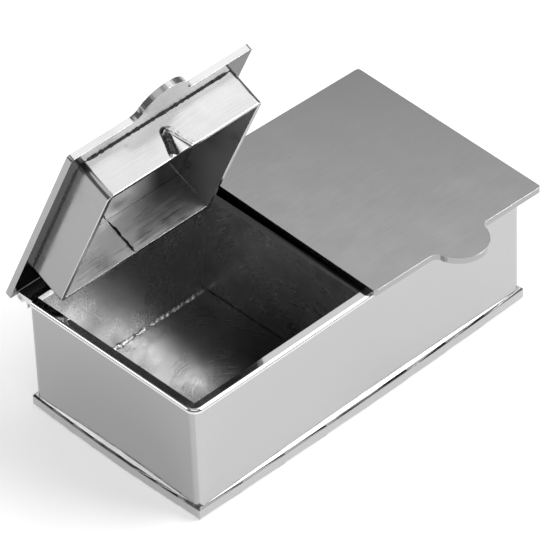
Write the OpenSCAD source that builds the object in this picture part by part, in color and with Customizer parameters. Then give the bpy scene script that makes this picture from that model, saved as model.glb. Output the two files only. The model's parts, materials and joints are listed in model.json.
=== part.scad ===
// Twin-lid table box: a soldered sheet-metal box with one divider and two
// hinged lids side by side.  X runs along the long side, the thumb tabs face -Y,
// +Z is up, and the origin is the middle of the base plate's underside.
// All sizes are millimetres.

/* [Box] */
// Outside length of the walls
box_l = 64; // [60:1:80]
// Outside depth of the walls
box_w = 33.8; // [30:0.2:45]
// Height of the rim above the table
rim_z = 20.2; // [18:0.1:26]
// Thickness of the wall sheet
wall_t = 1.1; // [0.9:0.1:1.4]
// Outside radius of the upright corners
corner_r = 1.2; // [1:0.1:1.4]

/* [Base] */
// Thickness of the base plate
base_t = 2.1; // [1.6:0.1:2.5]
// Width of the step that the base plate shows in the middle of each wall
ledge = 0.65; // [0.6:0.05:1.5]
// How far the base plate's sides bow outwards
base_bow = 0.4; // [0.3:0.05:0.5]
// Radius of the base plate's lower edge
base_edge = 0.4; // [0.3:0.1:0.9]
// Radius of the base plate's upper edge
base_top_edge = 0.3; // [0.2:0.05:0.4]

/* [Rim] */
// Height of the rim moulding
rim_h = 1; // [0.8:0.1:1.2]
// How far the rim stands out from the walls
rim_out = 0.45; // [0.3:0.05:0.6]

/* [Divider] */
// Thickness of the divider sheet
divider_t = 1.2; // [0.9:0.1:1.5]
// Place of the divider's left face
divider_x = 0.4; // [-1:0.1:1]

/* [Lids] */
// Thickness of the lid plates
plate_t = 1; // [0.8:0.1:1.2]
// Left edge of the left lid
left_lid_x = -33; // [-33.2:0.1:-32.8]
// Left edge of the right lid
right_lid_x0 = 2.1; // [2:0.1:2.4]
// Right edge of the right lid
right_lid_x1 = 34.5; // [33:0.1:35]
// How far the left lid stands out in front of the walls
left_lid_front = 1.2; // [0.6:0.1:1.4]
// How far the right lid stands out in front of the walls
right_lid_front = 1.7; // [1.2:0.1:2]
// Turn of the right lid plate on its collar, seen from above
right_lid_turn = -1.8; // [-2:0.1:0]
// Radius of the half-round thumb tab
tab_r = 4.4; // [4:0.1:5]
// Radius that blends the tab into the lid's edge
tab_fillet = 1.2; // [0.8:0.1:1.4]
// Opening angle of the left lid
left_open = 65; // [0:1:105]

/* [Collars] */
// Height of the collar below the lid plate
collar_h = 6.2; // [5:0.1:7]
// Thickness of the collar strip
collar_t = 0.8; // [0.6:0.1:1]
// Distance from the lid's edge to the collar at the sides of the left lid
collar_inset = 2.4; // [2.3:0.1:3]
// Distance from the back wall's inner face to the collar
collar_back = 2.3; // [1.5:0.1:3]
// Distance from the front wall's inner face to the collar
collar_front = 0.8; // [0.8:0.05:1]

/* [Hinges] */
// Outside radius of the hinge tube
tube_r = 0.8; // [0.7:0.05:0.8]
// Radius of the hinge wire
wire_r = 0.4; // [0.3:0.05:0.45]
// Knuckles in each hinge, odd
knuckles = 5; // [5]
// Side gap between neighbouring knuckles
knuckle_gap = 0.1; // [0.08:0.01:0.15]
// Distance from the back wall to the hinge axis
hinge_back = 1.5; // [1.4:0.05:1.6]

/* [Hidden] */
$fn = 48;
eps = 0.01;
seat_gap = 0.05;
run_gap = 0.05;
plate_z = rim_z + seat_gap;
wall_top = rim_z - rim_h;
hinge_y = box_w / 2 + hinge_back;
hinge_z = plate_z - tube_r - run_gap;
lid_back_y = hinge_y + tube_r + 0.1;
lid_split = divider_x + 0.2;
inner_x = box_l / 2 - wall_t;
inner_y = box_w / 2 - wall_t;
rim_r = corner_r + rim_out;
rim_w = wall_t + rim_out;
bearer_h = 2;
plate_r = 0.5;
collar_r = 1;
collar_gap = 0.2;
collar_edge = 1.2;
hinge_gap = 0.3;
catch_out = 0.3;
catch_half = 1.3;
catch_h = 3.4;
cut = 100;

// Left and right edge of each lid, and of its hinge and its collar
left_lid = [left_lid_x, lid_split];
right_lid = [right_lid_x0, right_lid_x1];
left_hinge = [-box_l / 2, lid_split - 0.1];
right_hinge = [lid_split + hinge_gap + 0.1, box_l / 2];
left_ring = [left_lid_x + collar_inset, lid_split - collar_inset];
right_ring = [right_lid_x0 + collar_edge, inner_x - collar_gap];

// Rectangle with round corners, by its two opposite corners
module round_rect(x0, y0, x1, y1, r) {
    translate([x0 + r, y0]) square([x1 - x0 - 2 * r, y1 - y0]);
    translate([x0, y0 + r]) square([x1 - x0, y1 - y0 - 2 * r]);
    for (x = [x0 + r, x1 - r], y = [y0 + r, y1 - r]) translate([x, y]) circle(r);
}

// Carries a profile round a rectangle: profile x is the distance outwards from the corner's axis
module profile_frame(l, w, r) {
    sx = l / 2 - r;
    sy = w / 2 - r;
    for (s = [0, 1]) rotate(180 * s) {
        translate([sx, sy]) rotate_extrude(angle = 90) children();
        translate([-sx, sy]) rotate(90) rotate_extrude(angle = 90) children();
        translate([sx, -sy, 0]) rotate([90, 0, 180]) mirror([1, 0, 0]) linear_extrude(2 * sy) children();
        translate([sx, sy, 0]) rotate([90, 0, -90]) mirror([1, 0, 0]) linear_extrude(2 * sx) children();
    }
}

// The quarter of the plan that belongs to one side: 0 front, 1 right, 2 back, 3 left
module side_sector(side) {
    a = box_l / 2 - box_w / 2;
    far = cut / 2;
    front = [[-a, 0], [a, 0], [a + far, -far], [-a - far, -far]];
    right = [[a, 0], [a + far, far], [a + far, -far]];
    outline = side == 0 || side == 2 ? front : right;
    flip = side == 2 || side == 3 ? 180 : 0;
    rotate(flip) polygon(outline);
}

module wall(side) {
    translate([0, 0, base_t]) linear_extrude(wall_top - base_t) intersection() {
        difference() {
            round_rect(-box_l / 2, -box_w / 2, box_l / 2, box_w / 2, corner_r);
            square([2 * inner_x, 2 * inner_y], center = true);
        }
        side_sector(side);
    }
}

// Rim section: flat strip with a half-round outer edge
module rim_profile() {
    roll = rim_h / 2;
    translate([rim_r - rim_w, 0]) square([rim_w - roll, rim_h]);
    translate([rim_r - roll, roll]) circle(roll);
}

module rim(side) {
    translate([0, 0, wall_top]) intersection() {
        profile_frame(box_l + 2 * rim_out, box_w + 2 * rim_out, rim_r) rim_profile();
        translate([0, 0, -eps]) linear_extrude(rim_h + 2 * eps) difference() {
            side_sector(side);
            translate([-cut / 2, inner_y]) square([cut, cut]);
        }
    }
}

// Start of knuckle i along a hinge, and the length of one knuckle
function knuckle_len(span) = (span[1] - span[0]) / knuckles;
function knuckle_start(span, i) = span[0] + i * knuckle_len(span);

module along_hinge(x, len, r) {
    translate([x, hinge_y, hinge_z]) rotate([0, 90, 0]) cylinder(h = len, r = r);
}

module knuckle(span, i, bore) {
    len = knuckle_len(span) - knuckle_gap;
    x = knuckle_start(span, i) + knuckle_gap / 2;
    on_lid = i % 2 == 1;
    difference() {
        union() {
            along_hinge(x, len, tube_r);
            if (on_lid) translate([x, hinge_y - tube_r / 2, hinge_z]) cube([len, tube_r, plate_z - hinge_z]);
        }
        along_hinge(x - 1, len + 2, bore);
    }
}

module hinge_wire(span) {
    color("gainsboro") along_hinge(span[0] + 0.1, span[1] - span[0] - 0.2, wire_r);
}

module box_knuckle(span, i) {
    color("gainsboro") knuckle(span, i, wire_r);
}

module lid_knuckle(span, i) {
    color("silver") knuckle(span, i, wire_r + run_gap);
}

// Everything on the left lid is drawn shut and turned open about its hinge
module left_turned() {
    translate([0, hinge_y, hinge_z]) rotate([-left_open, 0, 0])
        translate([0, -hinge_y, -hinge_z]) children();
}

// Points of an arc from angle a0 to a1
function arc(cx, cy, r, a0, a1, steps = 12) =
    [for (i = [0:steps]) [cx + r * cos(a0 + (a1 - a0) * i / steps), cy + r * sin(a0 + (a1 - a0) * i / steps)]];

// Lid outline, anticlockwise from the back left corner, with the half-round tab on its front edge
function lid_outline(x0, x1, y0, y1, r, mid) =
    let (
        reach = sqrt(pow(tab_r + tab_fillet, 2) - pow(tab_fillet, 2)),
        lean = asin(tab_fillet / (tab_r + tab_fillet)),
        step = (180 - 2 * lean) / 26
    )
    concat(
        arc(x0 + r, y1 - r, r, 90, 180, 4),
        arc(x0 + r, y0 + r, r, 180, 270, 4),
        arc(mid - reach, y0 - tab_fillet, tab_fillet, 90, -lean, 6),
        arc(mid, y0, tab_r, 180 + lean + step, 360 - lean - step, 24),
        arc(mid + reach, y0 - tab_fillet, tab_fillet, 180 + lean, 90, 6),
        arc(x1 - r, y0 + r, r, 270, 360, 4),
        arc(x1 - r, y1 - r, r, 0, 90, 4)
    );

// Lid plate, turned in its own plane about its middle
module lid_plate(lid, front, turn) {
    half_l = (lid[1] - lid[0]) / 2;
    half_w = (lid_back_y + box_w / 2 + front) / 2;
    color("silver") translate([lid[0] + half_l, lid_back_y - half_w, plate_z]) rotate(turn)
        linear_extrude(plate_t) polygon(lid_outline(-half_l, half_l, -half_w, half_w, plate_r, 0));
}

module collar(ring) {
    y0 = -inner_y + collar_front;
    y1 = inner_y - collar_back;
    color("silver") translate([0, 0, plate_z - collar_h]) linear_extrude(collar_h) difference() {
        round_rect(ring[0], y0, ring[1], y1, collar_r);
        translate([ring[0] + collar_t, y0 + collar_t])
            square([ring[1] - ring[0] - 2 * collar_t, y1 - y0 - 2 * collar_t]);
    }
}

// Catch pressed out of the collar's front: an arc at the mouth that runs up to a point
module catch_piece(ring) {
    steps = 12;
    x = (ring[0] + ring[1]) / 2 - 0.5;
    y = -inner_y + collar_front;
    mouth_z = plate_z - collar_h;
    r = (pow(catch_half, 2) + pow(catch_out, 2)) / (2 * catch_out);
    sweep = asin(catch_half / r);
    mouth = arc(x, y + r - catch_out, r, 270 - sweep, 270 + sweep, steps);
    tip = steps + 1;
    color("silver") polyhedron(
        points = concat([for (p = mouth) [p[0], p[1], mouth_z]], [[x, y, mouth_z + catch_h]]),
        faces = concat([for (i = [0:steps - 1]) [tip, i + 1, i]], [[for (i = [0:steps]) i]], [[tip, 0, steps]])
    );
}

// Half section of the base plate at the middle of a side, its outer edge at x = 0
module base_section() {
    depth = 80;
    translate([-depth, 0]) square([depth - base_edge, base_t]);
    translate([-depth, base_edge]) square([depth - base_top_edge, base_t - base_edge]);
    translate([-depth, base_edge]) square([depth, base_t - base_edge - base_top_edge]);
    translate([-base_edge, base_edge]) circle(base_edge, $fn = 48);
    translate([-base_top_edge, base_t - base_top_edge]) circle(base_top_edge, $fn = 48);
}

// Plate with one bowed side, at +X: half is half the side's length, reach its distance from the middle
module bowed_side(half, reach) {
    r = (pow(half, 2) + pow(base_bow, 2)) / (2 * base_bow);
    sweep = atan(half / (r - 2 * reach)) + 0.5;
    translate([reach - r, 0]) rotate(-sweep)
        rotate_extrude(angle = 2 * sweep, $fn = 900) translate([r, 0]) base_section();
}

module base_plate() {
    half_l = box_l / 2 + ledge;
    half_w = box_w / 2 + ledge;
    color("silver") intersection() {
        bowed_side(half_w - base_bow, half_l);
        rotate(180) bowed_side(half_w - base_bow, half_l);
        rotate(90) bowed_side(half_l - base_bow, half_w);
        rotate(-90) bowed_side(half_l - base_bow, half_w);
    }
}

module front_wall() { color("silver") wall(0); }
module right_wall() { color("silver") wall(1); }
module back_wall() { color("silver") wall(2); }
module left_wall() { color("silver") wall(3); }

module divider() {
    color("gainsboro") translate([divider_x, -inner_y, base_t])
        cube([divider_t, 2 * inner_y, rim_z - base_t]);
}

module front_rim() { color("gainsboro") rim(0); }
module right_rim() { color("gainsboro") rim(1); }
module left_rim() { color("gainsboro") rim(3); }

// Strip behind the back wall that carries the hinge tubes, coved below and grooved above
module hinge_bearer() {
    back = hinge_y;
    cove = bearer_h - 0.6;
    color("gainsboro") difference() {
        translate([-box_l / 2, inner_y, 0]) cube([box_l, back - inner_y, rim_z]);
        translate([-cut / 2, 0, -eps]) cube([cut, box_w / 2, wall_top + eps]);
        translate([-cut / 2, -eps, -eps]) cube([cut, cut, rim_z - bearer_h + eps]);
        translate([-cut / 2, box_w / 2 + cove, rim_z - bearer_h]) rotate([0, 90, 0]) cylinder(h = cut, r = cove);
        along_hinge(-cut / 2, cut, tube_r);
        for (span = [left_hinge, right_hinge], i = [1, 3])
            along_hinge(knuckle_start(span, i), knuckle_len(span), tube_r + 2 * run_gap);
    }
}

module left_hinge_wire() { hinge_wire(left_hinge); }
module right_hinge_wire() { hinge_wire(right_hinge); }
module left_lid_plate() { left_turned() lid_plate(left_lid, left_lid_front, 0); }
module left_collar() { left_turned() collar(left_ring); }
module left_catch() { left_turned() catch_piece(left_ring); }
module right_lid_plate() { lid_plate(right_lid, right_lid_front, right_lid_turn); }
module right_collar() { collar(right_ring); }
module right_catch() { catch_piece(right_ring); }

base_plate();
front_wall();
back_wall();
left_wall();
right_wall();
divider();
front_rim();
left_rim();
right_rim();
hinge_bearer();
box_knuckle(left_hinge, 0);  // left_box_knuckle_1
box_knuckle(left_hinge, 2);  // left_box_knuckle_2
box_knuckle(left_hinge, 4);  // left_box_knuckle_3
box_knuckle(right_hinge, 0);  // right_box_knuckle_1
box_knuckle(right_hinge, 2);  // right_box_knuckle_2
box_knuckle(right_hinge, 4);  // right_box_knuckle_3
left_hinge_wire();
right_hinge_wire();
left_lid_plate();
left_collar();
left_catch();
left_turned() lid_knuckle(left_hinge, 1);  // left_lid_knuckle_1
left_turned() lid_knuckle(left_hinge, 3);  // left_lid_knuckle_2
right_lid_plate();
right_collar();
right_catch();
lid_knuckle(right_hinge, 1);  // right_lid_knuckle_1
lid_knuckle(right_hinge, 3);  // right_lid_knuckle_2
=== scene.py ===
"""Twin-lid table box in silver plate: finishes, solder, eased edges, catches, studio and camera."""
import json
import math

import bmesh
import bpy
from mathutils import Matrix, Vector, noise


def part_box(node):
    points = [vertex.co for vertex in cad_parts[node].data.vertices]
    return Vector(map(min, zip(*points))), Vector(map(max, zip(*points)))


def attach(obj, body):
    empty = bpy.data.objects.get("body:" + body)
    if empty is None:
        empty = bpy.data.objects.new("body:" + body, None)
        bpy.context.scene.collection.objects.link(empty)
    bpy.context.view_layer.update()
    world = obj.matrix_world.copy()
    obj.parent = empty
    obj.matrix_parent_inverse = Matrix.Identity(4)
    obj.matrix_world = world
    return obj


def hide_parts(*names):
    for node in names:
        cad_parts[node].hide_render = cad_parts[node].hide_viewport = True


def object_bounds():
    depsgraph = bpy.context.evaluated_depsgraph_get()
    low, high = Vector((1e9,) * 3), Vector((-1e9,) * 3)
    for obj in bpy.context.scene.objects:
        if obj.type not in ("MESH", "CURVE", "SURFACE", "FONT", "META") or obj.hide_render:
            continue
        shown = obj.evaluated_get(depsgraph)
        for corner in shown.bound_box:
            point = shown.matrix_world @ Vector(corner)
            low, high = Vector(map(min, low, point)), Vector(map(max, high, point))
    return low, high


MM = 0.001

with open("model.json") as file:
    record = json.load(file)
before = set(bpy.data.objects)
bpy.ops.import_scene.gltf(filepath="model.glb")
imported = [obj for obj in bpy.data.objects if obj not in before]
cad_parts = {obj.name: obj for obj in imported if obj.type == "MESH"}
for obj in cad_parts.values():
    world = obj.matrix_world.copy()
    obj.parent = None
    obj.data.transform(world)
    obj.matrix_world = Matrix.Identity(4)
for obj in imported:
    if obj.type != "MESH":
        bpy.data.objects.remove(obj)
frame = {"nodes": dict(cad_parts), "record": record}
cad_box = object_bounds()
nodes = frame["nodes"]


# ---------------------------------------------------------------- sizes of the CAD pieces, in mm

def box_mm(node):
    """Lowest and highest corner of a CAD node at rest, in millimetres."""
    low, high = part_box(node)
    return Vector(low) / MM, Vector(high) / MM


wall_low = box_mm("front_wall")[0]
side_low, side_high = box_mm("left_wall")
split_low, split_high = box_mm("divider")
SHEET = split_low.y - wall_low.y
FLOOR_Z, WALL_TOP = side_low.z, side_high.z
INNER_LEFT, INNER_RIGHT = side_low.x + SHEET, -side_low.x - SHEET
INNER_FRONT, INNER_BACK = split_low.y, split_high.y

# The left lid rests open: its pieces are laid out on the shut lid, then turned about its hinge
joint_of = {joint["child"]: joint for joint in frame["record"]["behaviour"]["joints"]}
left_joint = joint_of["left_lid"]
hinge = Matrix.Translation(Vector(left_joint["pos_m"]) / MM)
open_turn = Matrix.Rotation(math.radians(left_joint["range_deg"][0]), 4, "X")
LAID_OPEN = {
    "left_lid": hinge @ open_turn @ hinge.inverted(),
    "right_lid": Matrix.Identity(4),
}


def shut_box(node, body):
    """Lowest and highest corner of a lid's CAD node with that lid shut, in millimetres."""
    shut = LAID_OPEN[body].inverted()
    points = [shut @ (nodes[node].matrix_world @ v.co / MM) for v in nodes[node].data.vertices]
    low = Vector(min(p[i] for p in points) for i in range(3))
    high = Vector(max(p[i] for p in points) for i in range(3))
    return low, high


# ---------------------------------------------------------------- colour and nodes

def colour(hex_code):
    """An sRGB hex value as a linear RGBA colour."""
    channels = [int(hex_code[i:i + 2], 16) / 255 for i in (1, 3, 5)]
    linear = [c / 12.92 if c <= 0.04045 else ((c + 0.055) / 1.055) ** 2.4 for c in channels]
    return (*linear, 1.0)


def add(tree, kind, settings=None, **links):
    """Adds one node.

    settings are its properties or its sockets' values, and links are socket=(node, output).
    A link's key is the socket's name with _ for each space, or i and the socket's number.
    """
    made = tree.nodes.new(kind)
    for key, value in (settings or {}).items():
        if isinstance(key, str) and hasattr(made, key):
            setattr(made, key, value)
        else:
            made.inputs[key].default_value = value
    for key, (source, output) in links.items():
        by_number = key[0] == "i" and key[1:].isdigit()
        socket = made.inputs[int(key[1:]) if by_number else key.replace("_", " ")]
        tree.links.new(source.outputs[output], socket)
    return made


def new_metal(name, hex_code, roughness):
    """A bare metal: full metallic, default IOR, its own colour and roughness."""
    mat = bpy.data.materials.new(name)
    mat.use_nodes = True
    tree = mat.node_tree
    shader = tree.nodes["Principled BSDF"]
    shader.inputs["Base Color"].default_value = colour(hex_code)
    shader.inputs["Metallic"].default_value = 1.0
    shader.inputs["Roughness"].default_value = roughness
    return mat, tree, shader


def buffed_silver(name, hex_code, roughness, line_mm, along,
                  line_depth_mm=0.0012, wave_depth_mm=0.02, spread=0.25):
    """Silver plate on rolled sheet, buffed along one axis: fine lines, haze and slow waves."""
    mat, tree, shader = new_metal(name, hex_code, roughness)
    place = add(tree, "ShaderNodeTexCoord")
    squeeze = Vector((1, 1, 1))
    squeeze["XYZ".index(along)] = 0.03
    lines_at = add(tree, "ShaderNodeMapping", {"Scale": tuple(squeeze)}, Vector=(place, "Object"))
    lines = add(tree, "ShaderNodeTexNoise",
                {"Scale": 1 / (line_mm * MM), "Detail": 3.0, "Roughness": 0.6},
                Vector=(lines_at, "Vector"))
    haze = add(tree, "ShaderNodeTexNoise", {"Scale": 1 / (6 * MM), "Detail": 3.0},
               Vector=(place, "Object"))
    blend = add(tree, "ShaderNodeMath", {"operation": "MULTIPLY"},
                i0=(lines, "Fac"), i1=(haze, "Fac"))
    rough = add(tree, "ShaderNodeMapRange",
                {"From Min": 0.12, "From Max": 0.4,
                 "To Min": roughness * (1 - spread), "To Max": roughness * (1 + spread)},
                Value=(blend, "Value"))
    tree.links.new(rough.outputs["Result"], shader.inputs["Roughness"])
    waves = add(tree, "ShaderNodeTexNoise", {"Scale": 1 / (16 * MM), "Detail": 0.0},
                Vector=(place, "Object"))
    slow = add(tree, "ShaderNodeBump", {"Strength": 1.0, "Distance": wave_depth_mm * MM},
               Height=(waves, "Fac"))
    fine = add(tree, "ShaderNodeBump", {"Strength": 0.4, "Distance": line_depth_mm * MM},
               Height=(lines, "Fac"), Normal=(slow, "Normal"))
    tree.links.new(fine.outputs["Normal"], shader.inputs["Normal"])
    return mat


def mirror_silver(name, hex_code, roughness):
    """Silver plate mopped to a mirror, with faint soft marks."""
    mat, tree, shader = new_metal(name, hex_code, roughness)
    place = add(tree, "ShaderNodeTexCoord")
    marks = add(tree, "ShaderNodeTexNoise", {"Scale": 1 / (1.6 * MM), "Detail": 3.0},
                Vector=(place, "Object"))
    rough = add(tree, "ShaderNodeMapRange",
                {"From Min": 0.3, "From Max": 0.7,
                 "To Min": roughness * 0.7, "To Max": roughness * 1.5},
                Value=(marks, "Fac"))
    tree.links.new(rough.outputs["Result"], shader.inputs["Roughness"])
    dents = add(tree, "ShaderNodeBump", {"Strength": 0.5, "Distance": 0.012 * MM},
                Height=(marks, "Fac"))
    tree.links.new(dents.outputs["Normal"], shader.inputs["Normal"])
    return mat


def swirled_silver(name, hex_code, roughness, centre_mm, turn, inside_only=False):
    """Silver plate rubbed round by hand: curved scratches about centre_mm, and dark haze."""
    mat, tree, shader = new_metal(name, hex_code, roughness)
    place = add(tree, "ShaderNodeTexCoord")
    about = add(tree, "ShaderNodeMapping",
                {"Location": tuple(-c * MM for c in centre_mm), "Rotation": turn},
                Vector=(place, "Object"))
    wander = add(tree, "ShaderNodeTexNoise", {"Scale": 1 / (5 * MM), "Detail": 1.0},
                 Vector=(place, "Object"))
    shift = add(tree, "ShaderNodeVectorMath", {"operation": "MULTIPLY_ADD", 1: (1.2 * MM,) * 3},
                i0=(wander, "Color"), i2=(about, "Vector"))
    flat = add(tree, "ShaderNodeSeparateXYZ", Vector=(shift, "Vector"))
    across = add(tree, "ShaderNodeMath", {"operation": "MULTIPLY"}, i0=(flat, "X"), i1=(flat, "X"))
    radius2 = add(tree, "ShaderNodeMath", {"operation": "MULTIPLY_ADD"},
                  i0=(flat, "Y"), i1=(flat, "Y"), i2=(across, "Value"))
    radius = add(tree, "ShaderNodeMath", {"operation": "SQRT"}, i0=(radius2, "Value"))
    angle = add(tree, "ShaderNodeMath", {"operation": "ARCTAN2"}, i0=(flat, "Y"), i1=(flat, "X"))
    short = add(tree, "ShaderNodeMath", {"operation": "MULTIPLY", 1: 0.14 * MM},
                i0=(angle, "Value"))
    ring = add(tree, "ShaderNodeCombineXYZ", X=(radius, "Value"), Y=(short, "Value"), Z=(flat, "Z"))
    scratches = add(tree, "ShaderNodeTexNoise",
                    {"Scale": 1 / (0.22 * MM), "Detail": 4.0, "Roughness": 0.65},
                    Vector=(ring, "Vector"))
    haze = add(tree, "ShaderNodeTexNoise", {"Scale": 1 / (4.5 * MM), "Detail": 4.0},
               Vector=(place, "Object"))
    blend = add(tree, "ShaderNodeMath", {"operation": "MULTIPLY"},
                i0=(scratches, "Fac"), i1=(haze, "Fac"))
    rough = add(tree, "ShaderNodeMapRange",
                {"From Min": 0.12, "From Max": 0.42,
                 "To Min": roughness * 0.75, "To Max": roughness * 1.35},
                Value=(blend, "Value"))
    tone = add(tree, "ShaderNodeMix",
               {"data_type": "RGBA", 6: colour(hex_code), 7: colour("#8C8C8C")},
               Factor=(haze, "Fac"))
    bump = add(tree, "ShaderNodeBump", {"Strength": 0.5, "Distance": 0.001 * MM},
               Height=(scratches, "Fac"))
    tone_out, rough_out = tone.outputs[2], rough.outputs["Result"]
    if inside_only:
        tone_out, rough_out = polished_outside(tree, place, tone, rough, bump)
    tree.links.new(tone_out, shader.inputs["Base Color"])
    tree.links.new(rough_out, shader.inputs["Roughness"])
    tree.links.new(bump.outputs["Normal"], shader.inputs["Normal"])
    return mat


STEP_ROUGHNESS = 0.06


def polished_outside(tree, place, tone, rough, bump):
    """Keeps a finish to the floor of the box, and leaves the step outside the walls polished.

    Returns the colour and the roughness outputs to use, and drives the strength of the bump.
    """
    at = add(tree, "ShaderNodeSeparateXYZ", Vector=(place, "Object"))
    wide = add(tree, "ShaderNodeMath", {"operation": "ABSOLUTE"}, i0=(at, "X"))
    deep = add(tree, "ShaderNodeMath", {"operation": "ABSOLUTE"}, i0=(at, "Y"))
    in_x = add(tree, "ShaderNodeMath", {"operation": "LESS_THAN", 1: INNER_RIGHT * MM},
               i0=(wide, "Value"))
    in_y = add(tree, "ShaderNodeMath", {"operation": "LESS_THAN", 1: INNER_BACK * MM},
               i0=(deep, "Value"))
    inside = add(tree, "ShaderNodeMath", {"operation": "MULTIPLY"},
                 i0=(in_x, "Value"), i1=(in_y, "Value"))
    both = add(tree, "ShaderNodeMix", {"data_type": "RGBA", 6: colour("#D2D2D2")},
               Factor=(inside, "Value"), i7=(tone, 2))
    gap = add(tree, "ShaderNodeMath", {"operation": "SUBTRACT", 1: STEP_ROUGHNESS},
              i0=(rough, "Result"))
    level = add(tree, "ShaderNodeMath", {"operation": "MULTIPLY_ADD", 2: STEP_ROUGHNESS},
                i0=(gap, "Value"), i1=(inside, "Value"))
    tree.links.new(inside.outputs["Value"], bump.inputs["Strength"])
    return both.outputs[2], level.outputs["Value"]


def solder(name, hex_code):
    """Silver solder as it froze: grainy, bright on its bumps and dull between them."""
    mat, tree, shader = new_metal(name, hex_code, 0.3)
    place = add(tree, "ShaderNodeTexCoord")
    grain = add(tree, "ShaderNodeTexNoise", {"Scale": 1 / (0.35 * MM), "Detail": 3.0},
                Vector=(place, "Object"))
    rough = add(tree, "ShaderNodeMapRange", {"To Min": 0.12, "To Max": 0.5}, Value=(grain, "Fac"))
    tree.links.new(rough.outputs["Result"], shader.inputs["Roughness"])
    bump = add(tree, "ShaderNodeBump", {"Strength": 1.0, "Distance": 0.12 * MM},
               Height=(grain, "Fac"))
    tree.links.new(bump.outputs["Normal"], shader.inputs["Normal"])
    return mat


OUTSIDE = buffed_silver("silver_plate_buffed", "#BABABA", 0.2, 0.1, "X", 0.0012, 0.008)
# The end walls are buffed along Y. Their colour is darker than the other walls' as painted shade:
# it stands for the shaded floor that the left wall reflects.
END_WALL_PAINTED_SHADE = buffed_silver("silver_plate_buffed_end_painted_shade", "#ABABAB", 0.2, 0.14, "Y", 0.002, 0.02)
MIRROR = mirror_silver("silver_plate_mirror", "#DCDCDC", 0.05)
BASE = swirled_silver("silver_plate_base", "#C4C4C4", 0.23,
                      (-12, -2, 0), (0, 0, 0), inside_only=True)
WALL_SWIRL = swirled_silver("silver_plate_rubbed_walls", "#B8B8B8", 0.3,
                            (0, -4, 4), (0, math.radians(90), 0))
FINISH = {
    "sheet_polished": OUTSIDE,
    "rim_polished": MIRROR,
    "inside_satin": WALL_SWIRL,
    "collar_satin": buffed_silver("silver_plate_satin_collar", "#A0A0A0", 0.2, 0.14, "X",
                                  0.003, 0.03, 0.4),
    "hinge_tube": mirror_silver("plated_drawn_tube", "#CFCFCF", 0.14),
    "hinge_wire": mirror_silver("drawn_nickel_wire", "#B0B0B0", 0.2),
}
BRUSHED = buffed_silver("silver_plate_brushed_strip", "#C8C8C8", 0.42, 0.16, "X", 0.012, 0.02, 0.45)
# A dark copy of the buffed silver for the lid plates' undersides: painted shade under the lids.
UNDER_PAINTED_SHADE = buffed_silver("silver_plate_under_lid_painted_shade", "#4E4E4E", 0.2, 0.12, "X", 0.002, 0.02, 0.3)
BASE_EDGE = buffed_silver("silver_plate_base_edge", "#BCBCBC", 0.2, 0.2, "X", 0.002, 0.01, 0.3)
CUT_EDGE = buffed_silver("silver_plate_filed_edge", "#A6A6A6", 0.22, 0.2, "X", 0.002, 0.01, 0.3)
# A near-black copy of the buffed silver that paints shade: on the divider's top under the lids,
# along the base plate's fillet, and on the seams under the rims and at the divider.
DARK_PAINTED_SHADE = buffed_silver("silver_plate_dark_painted_shade", "#4A4A4A", 0.2, 0.12, "Y", 0.002, 0.02, 0.3)
SOLDER_BRIGHT = solder("silver_solder", "#D8D8D8")
# Dark solder whose colour is partly painted shade. Along the collars' joints with the lid plates it
# stands for shade in the corner, and on the catches it paints their dark side.
SOLDER_DARK = solder("silver_solder_dark_painted_shade", "#3C3C3C")

slot_of = {part["node"]: part["material_slot"] for part in frame["record"]["subparts"]}
for name, obj in nodes.items():
    obj.data.materials.clear()
    obj.data.materials.append(FINISH[slot_of[name]])
nodes["base_plate"].data.materials[0] = BASE
# The end walls take the darker copy of the buffed silver: painted shade.
for name in ("left_wall", "right_wall"):
    nodes[name].data.materials[0] = END_WALL_PAINTED_SHADE


def refinish(node, material, chosen):
    """Gives a CAD piece's faces a second finish where chosen(centre in mm, normal) says so."""
    obj = nodes[node]
    obj.data.materials.append(material)
    slot_number = len(obj.data.materials) - 1
    turn = obj.matrix_world.to_3x3()
    for face in obj.data.polygons:
        if chosen(obj.matrix_world @ face.center / MM, turn @ face.normal):
            face.material_index = slot_number


def looks_into_box(centre, normal):
    """True for a wall's face that points at the middle of the box."""
    inside = abs(centre.x) < INNER_RIGHT + 0.05 and abs(centre.y) < INNER_BACK + 0.05
    return inside and (normal.x * centre.x < -0.5 or normal.y * centre.y < -0.5)


for name in ("front_wall", "back_wall", "left_wall", "right_wall"):
    refinish(name, WALL_SWIRL, looks_into_box)
# The divider's top is painted dark: painted shade under the lids.
refinish("divider", DARK_PAINTED_SHADE, lambda centre, normal: normal.z > 0.5)
refinish("base_plate", BASE_EDGE, lambda centre, normal: normal.z < 0.1)
# The base plate's top fillet is painted dark: a painted dark line of shade and reflection along the
# base.
refinish("base_plate", DARK_PAINTED_SHADE, lambda centre, normal: 0.1 <= normal.z < 0.99)


def finish_lid(body):
    """Brushes a lid's collar inside, files its plate's edges and paints the plate's underside dark
    as painted shade.
    """
    side = body.split("_")[0]
    shut = LAID_OPEN[body].inverted()
    low, high = shut_box(side + "_collar", body)
    margin = Vector((0.5, 0.5, 0.1))

    def inside_collar(centre, normal):
        at = shut @ centre
        return all(low[i] + margin[i] < at[i] < high[i] - margin[i] for i in range(3))

    def cut_edge(centre, normal):
        return abs((shut.to_3x3() @ normal).z) < 0.5

    def underside(centre, normal):
        return (shut.to_3x3() @ normal).z < -0.5

    refinish(side + "_collar", BRUSHED, inside_collar)
    refinish(side + "_lid_plate", CUT_EDGE, cut_edge)
    # The plate's underside is painted dark: painted shade.
    refinish(side + "_lid_plate", UNDER_PAINTED_SHADE, underside)


for body in LAID_OPEN:
    finish_lid(body)


# ---------------------------------------------------------------- edges of the CAD pieces

# Radius of the eased edges of the lid plates and of the collars' strip
PLATE_ARRIS, STRIP_ARRIS = 0.3, 0.12


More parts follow.
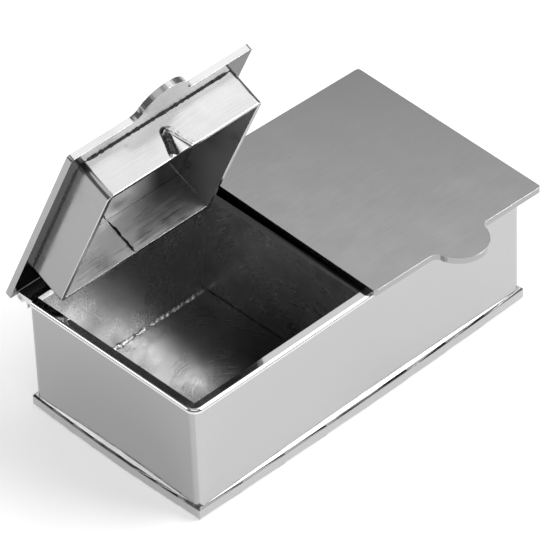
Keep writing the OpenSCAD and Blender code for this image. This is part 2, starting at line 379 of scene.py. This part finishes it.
def ease_edges(obj, radius_mm):
    """Rounds a CAD piece's arrises and leaves them bright, as filing and mopping does."""
    obj.data.materials.append(MIRROR)
    weld = obj.modifiers.new("weld", "WELD")
    weld.merge_threshold = 0.001 * MM
    bevel = obj.modifiers.new("eased_edges", "BEVEL")
    bevel.width = radius_mm * MM
    bevel.segments = 3
    bevel.limit_method = "ANGLE"
    bevel.angle_limit = math.radians(40)
    bevel.harden_normals = True
    bevel.material = len(obj.data.materials) - 1


for name in ("base_plate", "front_rim", "left_rim", "right_rim"):
    nodes[name].modifiers.new("flat_faces_stay_flat", "WEIGHTED_NORMAL").keep_sharp = True

for name in nodes:
    if name.endswith("lid_plate"):
        ease_edges(nodes[name], PLATE_ARRIS)
    elif name.endswith("collar"):
        ease_edges(nodes[name], STRIP_ARRIS)


# ---------------------------------------------------------------- solder

def new_piece(name, bm, material, body):
    """Closes a bmesh laid out in millimetres into a smooth piece that rides on a body."""
    bmesh.ops.recalc_face_normals(bm, faces=bm.faces)
    bmesh.ops.scale(bm, vec=(MM, MM, MM), verts=bm.verts)
    mesh = bpy.data.meshes.new(name)
    bm.to_mesh(mesh)
    bm.free()
    for face in mesh.polygons:
        face.use_smooth = True
    mesh.materials.append(material)
    obj = bpy.data.objects.new(name, mesh)
    bpy.context.scene.collection.objects.link(obj)
    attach(obj, body)
    return obj


# Distance between a bead's rings, and the length over which its ends run out
BEAD_STEP, BEAD_TAPER = 0.22, 0.8


def solder_bead(name, body, start, end, side_a, side_b, leg_mm, ragged, seed, material,
                slot="sheet_polished"):
    """A fillet of solder in the corner between two sheets, from start to end.

    side_a and side_b are unit vectors in the two sheets, and leg_mm is its width along each.
    """
    laid = LAID_OPEN.get(body, Matrix.Identity(4))
    start, end = laid @ Vector(start), laid @ Vector(end)
    side_a, side_b = laid.to_3x3() @ Vector(side_a), laid.to_3x3() @ Vector(side_b)
    length = (end - start).length
    count = max(8, int(length / BEAD_STEP))
    bm = bmesh.new()
    rings = []
    for i in range(count + 1):
        at = length * i / count
        thin = min(1.0, at / BEAD_TAPER + 0.05, (length - at) / BEAD_TAPER + 0.05)
        size_a = leg_mm * thin * (1 + ragged * noise.noise(Vector((at / 0.7, seed, 0.3))))
        size_b = leg_mm * thin * (1 + ragged * noise.noise(Vector((at / 0.55, seed + 7.1, 1.9))))
        corner = start.lerp(end, i / count)
        section = [corner, corner + side_a * size_a]
        for t in (0.25, 0.5, 0.75):
            swell = 0.3 + 0.25 * ragged * noise.noise(Vector((at / 0.4, seed + 3.3 + t, 4.7)))
            along_a = side_a * size_a * (1 - t) * (1 - swell * t)
            along_b = side_b * size_b * t * (1 - swell * (1 - t))
            section.append(corner + along_a + along_b)
        section.append(corner + side_b * size_b)
        rings.append([bm.verts.new(p) for p in section])
    for a, b in zip(rings, rings[1:]):
        for i in range(len(a)):
            j = (i + 1) % len(a)
            bm.faces.new((a[i], a[j], b[j], b[i]))
    bm.faces.new(reversed(rings[0]))
    bm.faces.new(rings[-1])
    return new_piece(name, bm, material, body)


X, Y, Z = Vector((1, 0, 0)), Vector((0, 1, 0)), Vector((0, 0, 1))
OUTER_X, OUTER_Y = -side_low.x, -wall_low.y


def floor_seams(side, x0, x1, outer_x, outer_in, divider_x, divider_in):
    """The run of solder round the floor of one compartment; it is widest along the back."""
    back = (x0, INNER_BACK, FLOOR_Z), (x1, INNER_BACK, FLOOR_Z)
    front = (x0, INNER_FRONT, FLOOR_Z), (x1, INNER_FRONT, FLOOR_Z)
    outer = (outer_x, INNER_FRONT, FLOOR_Z), (outer_x, INNER_BACK, FLOOR_Z)
    middle = (divider_x, INNER_FRONT, FLOOR_Z), (divider_x, INNER_BACK, FLOOR_Z)
    solder_bead(side + "_back_seam", "box", *back, -Y, Z, 0.4, 1.0, 1.0, SOLDER_BRIGHT)
    solder_bead(side + "_front_seam", "box", *front, Y, Z, 0.3, 0.8, 2.0, BRUSHED)
    solder_bead(side + "_outer_seam", "box", *outer, outer_in, Z, 0.3, 0.8, 3.0, BRUSHED)
    # The seam at the divider is painted dark: painted shade in that corner.
    solder_bead(side + "_divider_seam", "box", *middle, divider_in, Z, 0.16, 0.5, 4.0, DARK_PAINTED_SHADE)


floor_seams("left", INNER_LEFT, split_low.x, INNER_LEFT, X, split_low.x, -X)
floor_seams("right", split_high.x, INNER_RIGHT, INNER_RIGHT, -X, split_high.x, X)

# Radius of the sheet's bends, where the seams stop short, and thickness of the collars' strip
BEND, COLLAR_STRIP = 1.0, 0.8

# The seams under the front and left rims are painted dark: painted shade under the rims.
solder_bead("front_rim_seam", "box",
            (BEND - OUTER_X, -OUTER_Y, WALL_TOP), (OUTER_X - BEND, -OUTER_Y, WALL_TOP),
            -Y, -Z, 0.17, 0.5, 5.0, DARK_PAINTED_SHADE, "rim_polished")
solder_bead("left_rim_seam", "box",
            (-OUTER_X, BEND - OUTER_Y, WALL_TOP), (-OUTER_X, OUTER_Y - BEND, WALL_TOP),
            -X, -Z, 0.17, 0.5, 6.0, DARK_PAINTED_SHADE, "rim_polished")


def collar_seams(body):
    """The solder where a collar meets its lid plate, and the butt seam at the strip's back."""
    side = body.split("_")[0]
    low, high = shut_box(side + "_collar", body)
    top = high.z
    runs = {"front": ((low.x + BEND, low.y, top), (high.x - BEND, low.y, top), -Y),
            "back": ((low.x + BEND, high.y, top), (high.x - BEND, high.y, top), Y),
            "outer": ((low.x, low.y + BEND, top), (low.x, high.y - BEND, top), -X),
            "inner": ((high.x, low.y + BEND, top), (high.x, high.y - BEND, top), X)}
    # The collar's joints with the plate are dark solder, and their dark colour is also painted
    # shade in that corner.
    for number, (edge, (start, end, outwards)) in enumerate(runs.items()):
        solder_bead(side + "_collar_" + edge + "_seam", body, start, end, outwards, -Z,
                    0.25, 0.6, 10.0 + number, SOLDER_DARK, "collar_satin")
    butt_x = (low.x + high.x) / 2 - 0.4
    strip_in = high.y - COLLAR_STRIP
    solder_bead(side + "_collar_butt", body,
                (butt_x, strip_in, low.z), (butt_x, strip_in, top), X, -Y,
                0.3, 0.9, 20.0, SOLDER_DARK, "collar_satin")


for body in LAID_OPEN:
    collar_seams(body)


# ---------------------------------------------------------------- catches

# How far the pushed-up strip reaches beside and above a catch, the mesh's step, and how deep
# the mesh is sunk into the strip
CATCH_BESIDE, CATCH_ABOVE, CATCH_STEP, CATCH_BURIED = 0.6, 1.6, 0.12, 0.02


def borders(sheet):
    """The four borders of a grid of vertices, one after the other round it."""
    return [sheet[0], [row[-1] for row in sheet], sheet[-1][::-1], [row[0] for row in sheet[::-1]]]


def punched_catch(side, body):
    """The catch punched out of the collar's front: a half cone, the strip pushed up round it."""
    low, high = shut_box(side + "_collar", body)
    catch_low, catch_high = shut_box(side + "_catch", body)
    middle, half = (catch_low.x + catch_high.x) / 2, (catch_high.x - catch_low.x) / 2
    tall, proud = catch_high.z - catch_low.z, catch_high.y - catch_low.y
    reach, rise = 2 * half + CATCH_BESIDE, tall + CATCH_ABOVE
    columns, rows = int(2 * reach / CATCH_STEP), int(rise / CATCH_STEP)

    def height(u, w):
        """How far the strip stands out, u to the side of the catch and w above the mouth."""
        width = half * max(0.0, 1 - w / tall) + 0.12
        cone = proud * max(0.0, 1 - w / tall) ** 0.6 * math.sqrt(max(0.0, 1 - (u / width) ** 2))
        away = math.hypot(max(0.0, abs(u) - width), max(0.0, w - tall))
        lip = 0.2 if u < 0 else 0.08
        pushed = lip * math.exp(-((away - 0.55) / 0.42) ** 2) * min(1.0, w / 0.5)
        dent = 0.04 * noise.noise(Vector((u / 0.4, w / 0.4, 2.2)))
        return max(cone, pushed + dent * min(1.0, pushed / 0.1)) - CATCH_BURIED

    def painted_dark_side(u, w):
        """True on the left side of the catch and on a ragged band round it, which are painted dark
        as a painted reflection of dark surroundings.
        """
        edge = -half * max(0.0, 1 - w / tall)
        ragged = 0.25 * noise.noise(Vector((u / 0.3, w / 0.35, 5.1)))
        wide = 1.25 * min(1.0, w / 0.7, (tall + 0.7 - w) / 0.9)
        return edge - wide + ragged < u < edge + 0.3 and w < tall + 0.5

    bm = bmesh.new()
    front, back = [], []
    for j in range(rows + 1):
        w = rise * j / rows
        line = [(-reach + 2 * reach * i / columns, w) for i in range(columns + 1)]
        front.append([bm.verts.new((middle + u, low.y - height(u, w), low.z + w)) for u, w in line])
        back.append([bm.verts.new((middle + u, low.y + 0.05, low.z + w)) for u, w in line])
    for sheet in (front, back):
        for a, b in zip(sheet, sheet[1:]):
            for i in range(columns):
                bm.faces.new((a[i], a[i + 1], b[i + 1], b[i]))
    for near, far in zip(borders(front), borders(back)):
        for i in range(len(near) - 1):
            bm.faces.new((near[i], near[i + 1], far[i + 1], far[i]))
    for face in bm.faces:
        centre = face.calc_center_median()
        face.material_index = int(painted_dark_side(centre.x - middle, centre.z - low.z))
    bmesh.ops.transform(bm, matrix=LAID_OPEN[body], verts=bm.verts)
    piece = new_piece(side + "_catch_punched", bm, FINISH["collar_satin"], body)
    # The second slot paints the catch's dark side: a painted reflection.
    piece.data.materials.append(SOLDER_DARK)
    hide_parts(side + "_catch")


punched_catch("left", "left_lid")
punched_catch("right", "right_lid")


# ---------------------------------------------------------------- studio

# Metres: how far the lights stand from the box, the table's side, and its gap under the base plate
LIGHT_DISTANCE, TABLE_SIDE, TABLE_DROP = 0.9, 6.0, 0.02 * MM


def light_table(material):
    """The table top, a hair below the base plate."""
    mesh = bpy.data.meshes.new("floor")
    bm = bmesh.new()
    half = TABLE_SIDE / 2
    corners = ((-half, -half, 0), (half, -half, 0), (half, half, 0), (-half, half, 0))
    bm.faces.new([bm.verts.new(corner) for corner in corners])
    bm.to_mesh(mesh)
    bm.free()
    mesh.materials.append(material)
    obj = bpy.data.objects.new("floor", mesh)
    bpy.context.scene.collection.objects.link(obj)
    obj.location.z = cad_box[0].z - TABLE_DROP


# White acrylic light table: matt, and lit a little from below, which keeps the shadow soft
table = bpy.data.materials.new("white_acrylic_light_table")
table.use_nodes = True
table_shader = table.node_tree.nodes["Principled BSDF"]
table_shader.inputs["Base Color"].default_value = colour("#F2F2F2")
table_shader.inputs["Roughness"].default_value = 0.9
table_shader.inputs["Specular IOR Level"].default_value = 0.1
table_shader.inputs["Emission Color"].default_value = colour("#FFFFFF")
table_shader.inputs["Emission Strength"].default_value = 0.34
light_table(table)


def softbox(name, azimuth, elevation, width, height, radiance):
    """A rectangular light aimed at the box. Azimuth 0 is in front of it, and 90 to its right."""
    light = bpy.data.lights.new(name, "AREA")
    light.shape = "RECTANGLE"
    light.size, light.size_y = width, height
    light.energy = radiance * math.pi * width * height
    obj = bpy.data.objects.new(name, light)
    bpy.context.scene.collection.objects.link(obj)
    a, e = math.radians(azimuth), math.radians(elevation)
    away = Vector((math.sin(a) * math.cos(e), -math.cos(a) * math.cos(e), math.sin(e)))
    obj.location = away * LIGHT_DISTANCE
    obj.rotation_mode = "QUATERNION"
    obj.rotation_quaternion = away.to_track_quat("Z", "Y")


world = bpy.data.worlds.new("studio_room")
bpy.context.scene.world = world
world.use_nodes = True
world.node_tree.nodes["Background"].inputs["Color"].default_value = colour("#FFFFFF")
world.node_tree.nodes["Background"].inputs["Strength"].default_value = 0.2
softbox("front_right_softbox", 44, 39, 0.6, 0.36, 7.0)
softbox("overhead_softbox", 78, 60, 0.6, 0.5, 1.75)
softbox("back_left_strip", -134, 34, 0.4, 0.3, 3.0)
softbox("back_right_fill", 137, 57, 1.0, 0.6, 0.64)
softbox("front_left_fill", -50, 66, 0.8, 0.6, 1.0)
bpy.context.scene.view_settings.view_transform = "Standard"


# ---------------------------------------------------------------- camera

VIEW_AZIMUTH, VIEW_ELEVATION, VIEW_ROLL = map(math.radians, (-42.7, 40.8, -2.4))
VIEW_DISTANCE, LENS_MM, SENSOR_MM = 0.702, 324.0, 36.0
AIM = Vector((0, 0, 10.2 * MM))
AIM_RIGHT, AIM_UP = -0.5 * MM, 3.2 * MM


def place_camera():
    """A long lens, aimed a little above the middle of the box."""
    data = bpy.data.cameras.new("camera")
    data.sensor_width = SENSOR_MM
    data.lens = LENS_MM
    obj = bpy.data.objects.new("camera", data)
    bpy.context.scene.collection.objects.link(obj)
    flat = math.cos(VIEW_ELEVATION)
    back = Vector((math.sin(VIEW_AZIMUTH) * flat, -math.cos(VIEW_AZIMUTH) * flat,
                   math.sin(VIEW_ELEVATION)))
    level = Vector((math.cos(VIEW_AZIMUTH), math.sin(VIEW_AZIMUTH), 0))
    upright = back.cross(level)
    right = math.cos(VIEW_ROLL) * level + math.sin(VIEW_ROLL) * upright
    up = back.cross(right)
    place = AIM + AIM_RIGHT * right + AIM_UP * up + VIEW_DISTANCE * back
    turn = Matrix((right, up, back)).transposed()
    obj.matrix_world = Matrix.Translation(place) @ turn.to_4x4()
    data.clip_start = 0.05
    data.clip_end = 20
    bpy.context.scene.camera = obj


place_camera()
bpy.context.view_layer.update()
